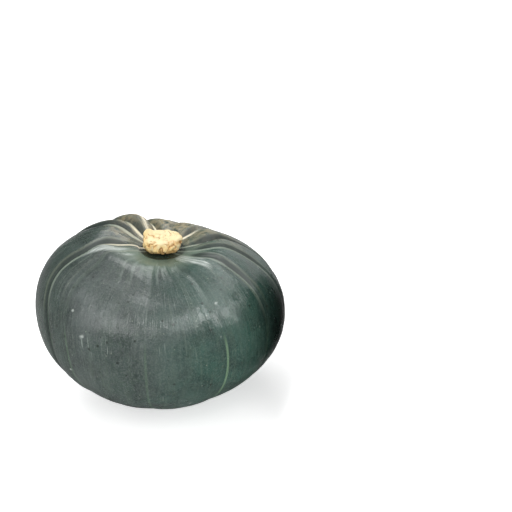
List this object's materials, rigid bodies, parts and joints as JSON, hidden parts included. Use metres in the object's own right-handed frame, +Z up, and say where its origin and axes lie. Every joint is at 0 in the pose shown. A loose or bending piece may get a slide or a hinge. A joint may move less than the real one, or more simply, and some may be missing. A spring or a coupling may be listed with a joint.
{
  "type": "kabocha squash",
  "caption": "Broad, flattened winter squash with a dark green, shallowly lobed rind that stands on a flat ring, and a corky tan stem button in its top.",
  "frame": {"origin": "middle of the base, on the plane that the fruit stands on", "axes": "+Z up through the stem, -Y towards the smooth front, +X to the right of it"},
  "size_m": [0.1688, 0.1694, 0.1151],
  "materials": {
    "rind": "waxy satin dark green rind",
    "cork": "dry, fissured tan cork"
  },
  "bodies": {
    "root": {"squash_body": "rind", "stem": "cork"}
  },
  "joints": []
}
